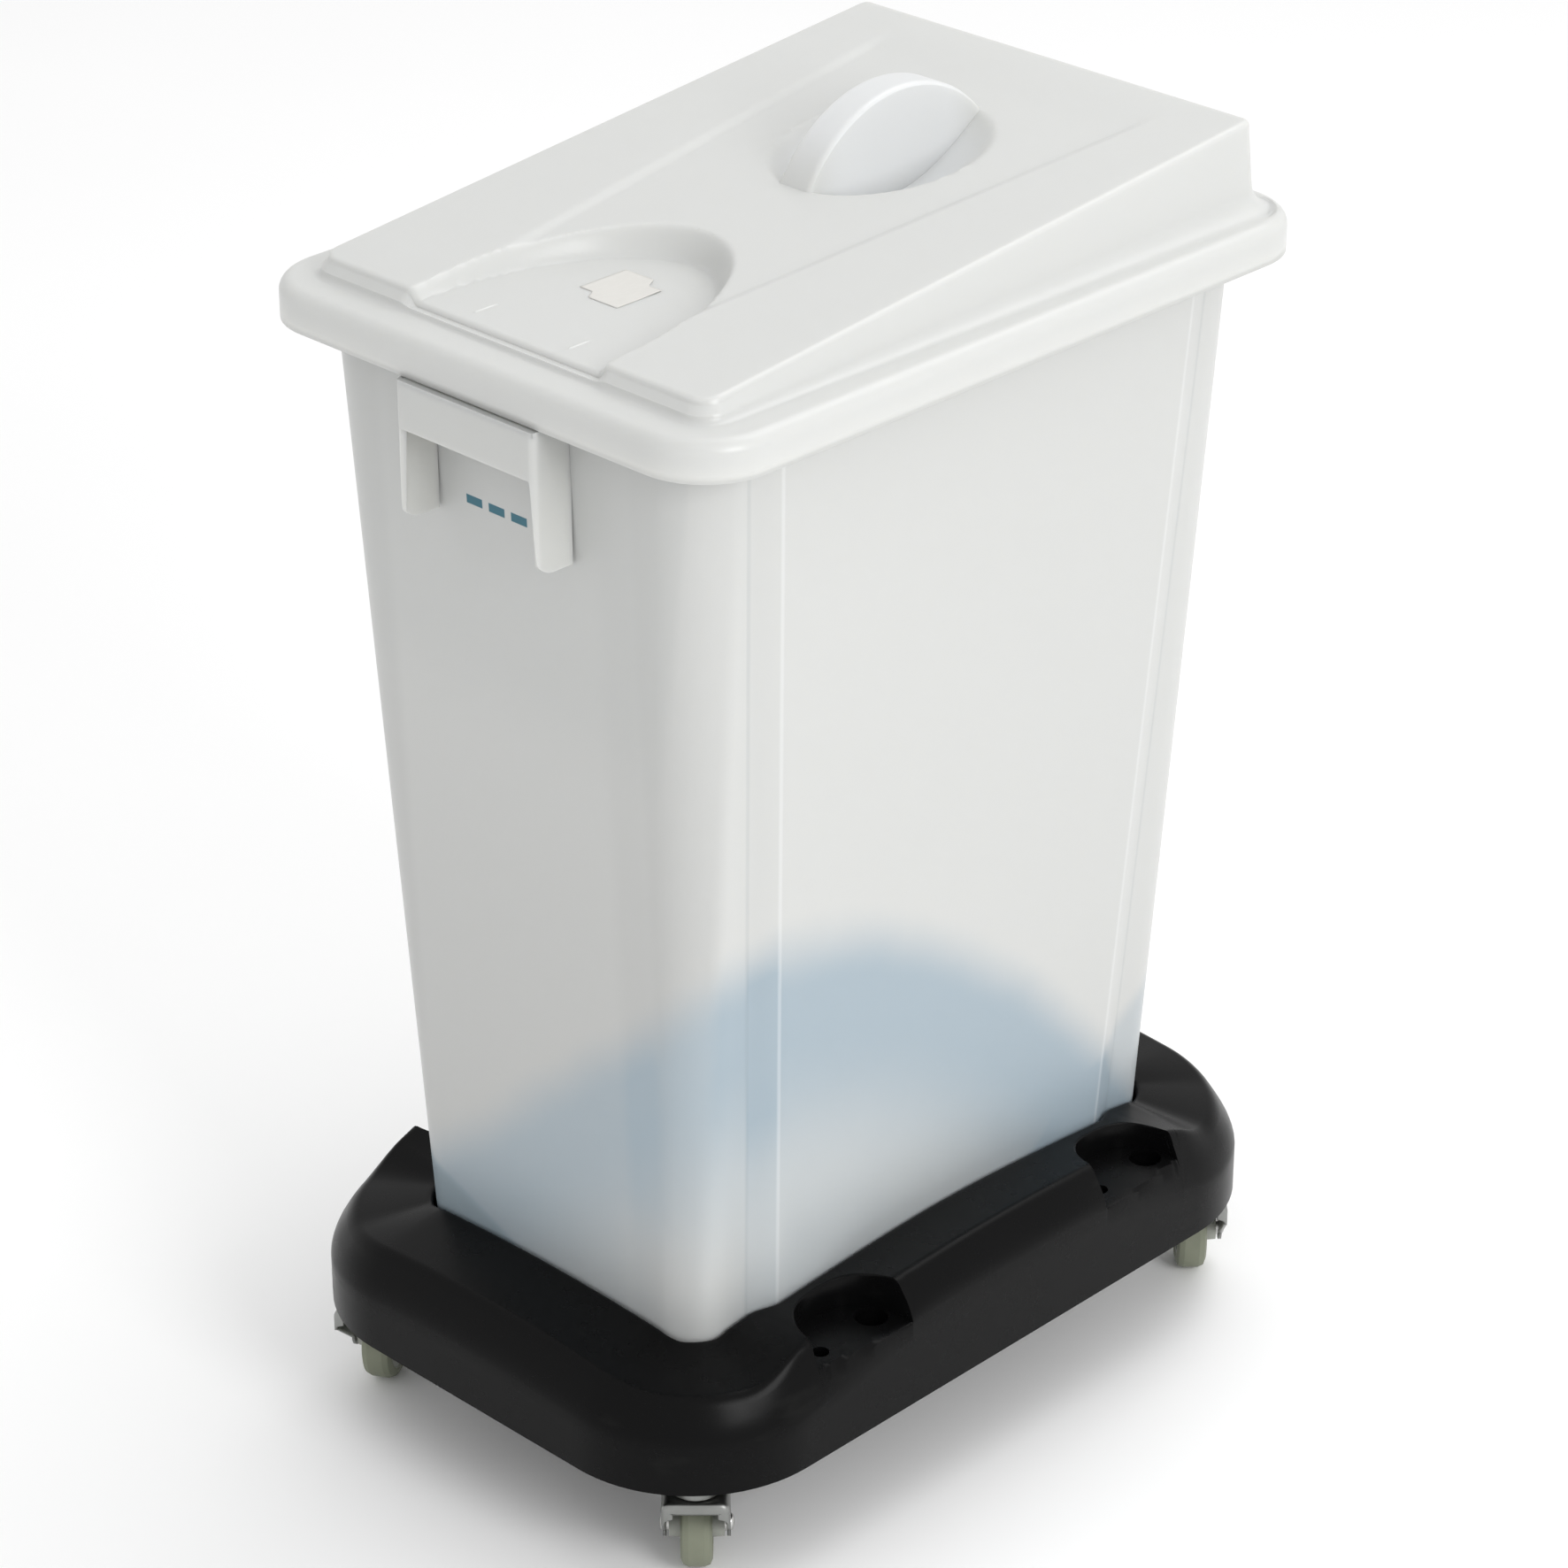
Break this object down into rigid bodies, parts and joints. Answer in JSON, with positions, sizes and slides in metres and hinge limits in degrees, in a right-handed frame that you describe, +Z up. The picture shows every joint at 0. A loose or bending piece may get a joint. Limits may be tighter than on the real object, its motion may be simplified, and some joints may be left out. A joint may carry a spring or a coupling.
{
  "type": "ingredient bin on a dolly",
  "caption": "Slim translucent tub with a wedge-shaped lift-off lid, standing in a black moulded dolly that rolls on swivel casters.",
  "frame": {"origin": "on the floor under the middle of the dolly", "axes": "+Z up, +Y along the length towards the lid's high end, X across the narrow way"},
  "size_m": [0.35, 0.512, 0.7728],
  "materials": {
    "milky_polypropylene": "satin, translucent milky white",
    "black_polypropylene": "satin black moulding with a fine grain",
    "paper_label": "plain matt cream paper",
    "zinc_sheet": "bright zinc-plated pressing",
    "plated_steel": "zinc-plated fastener",
    "bearing_steel": "polished",
    "core_plastic": "moulded black core",
    "grey_tread": "matt olive grey rubber"
  },
  "bodies": {
    "dolly": {"dolly_deck": "black_polypropylene", "stem_inserts": "plated_steel", "stem_front_right": "plated_steel", "top_cup_front_right": "zinc_sheet", "swivel_balls_front_right": "bearing_steel", "stem_front_left": "plated_steel", "top_cup_front_left": "zinc_sheet", "swivel_balls_front_left": "bearing_steel", "stem_back_right": "plated_steel", "top_cup_back_right": "zinc_sheet", "swivel_balls_back_right": "bearing_steel", "stem_back_left": "plated_steel", "top_cup_back_left": "zinc_sheet", "swivel_balls_back_left": "bearing_steel"},
    "bin": {"bin_body": "milky_polypropylene"},
    "lid": {"lid": "milky_polypropylene", "lid_label": "paper_label"},
    "swivel_front_right": {"fork_front_right": "zinc_sheet", "axle_bolt_front_right": "plated_steel", "axle_nut_front_right": "plated_steel", "axle_sleeve_front_right": "bearing_steel"},
    "wheel_front_right": {"wheel_core_front_right": "core_plastic", "tyre_front_right": "grey_tread"},
    "swivel_front_left": {"fork_front_left": "zinc_sheet", "axle_bolt_front_left": "plated_steel", "axle_nut_front_left": "plated_steel", "axle_sleeve_front_left": "bearing_steel"},
    "wheel_front_left": {"wheel_core_front_left": "core_plastic", "tyre_front_left": "grey_tread"},
    "swivel_back_right": {"fork_back_right": "zinc_sheet", "axle_bolt_back_right": "plated_steel", "axle_nut_back_right": "plated_steel", "axle_sleeve_back_right": "bearing_steel"},
    "wheel_back_right": {"wheel_core_back_right": "core_plastic", "tyre_back_right": "grey_tread"},
    "swivel_back_left": {"fork_back_left": "zinc_sheet", "axle_bolt_back_left": "plated_steel", "axle_nut_back_left": "plated_steel", "axle_sleeve_back_left": "bearing_steel"},
    "wheel_back_left": {"wheel_core_back_left": "core_plastic", "tyre_back_left": "grey_tread"}
  },
  "joints": [
    {"name": "bin_lift", "type": "slide", "parent": "dolly", "child": "bin", "axis": [0, 0, 1], "range_m": [0, 0.2]},
    {"name": "lid_lift", "type": "slide", "parent": "bin", "child": "lid", "axis": [0, 0, 1], "range_m": [0, 0.25]},
    {"name": "swivel_front_right", "type": "hinge", "parent": "dolly", "child": "swivel_front_right", "pos_m": [0.134, -0.213, 0.07], "axis": [0, 0, 1], "continuous": true},
    {"name": "roll_front_right", "type": "hinge", "parent": "swivel_front_right", "child": "wheel_front_right", "pos_m": [0.11864, -0.19726, 0.025], "axis": [-0.7157, -0.6984, 0], "continuous": true},
    {"name": "swivel_front_left", "type": "hinge", "parent": "dolly", "child": "swivel_front_left", "pos_m": [-0.134, -0.213, 0.07], "axis": [0, 0, 1], "continuous": true},
    {"name": "roll_front_left", "type": "hinge", "parent": "swivel_front_left", "child": "wheel_front_left", "pos_m": [-0.1452, -0.19406, 0.025], "axis": [-0.8607, -0.509, 0], "continuous": true},
    {"name": "swivel_back_right", "type": "hinge", "parent": "dolly", "child": "swivel_back_right", "pos_m": [0.134, 0.213, 0.07], "axis": [0, 0, 1], "continuous": true},
    {"name": "roll_back_right", "type": "hinge", "parent": "swivel_back_right", "child": "wheel_back_right", "pos_m": [0.11864, 0.22875, 0.025], "axis": [-0.7157, -0.6984, 0], "continuous": true},
    {"name": "swivel_back_left", "type": "hinge", "parent": "dolly", "child": "swivel_back_left", "pos_m": [-0.134, 0.213, 0.07], "axis": [0, 0, 1], "continuous": true},
    {"name": "roll_back_left", "type": "hinge", "parent": "swivel_back_left", "child": "wheel_back_left", "pos_m": [-0.14843, 0.2296, 0.025], "axis": [-0.7547, -0.6561, 0], "continuous": true}
  ]
}
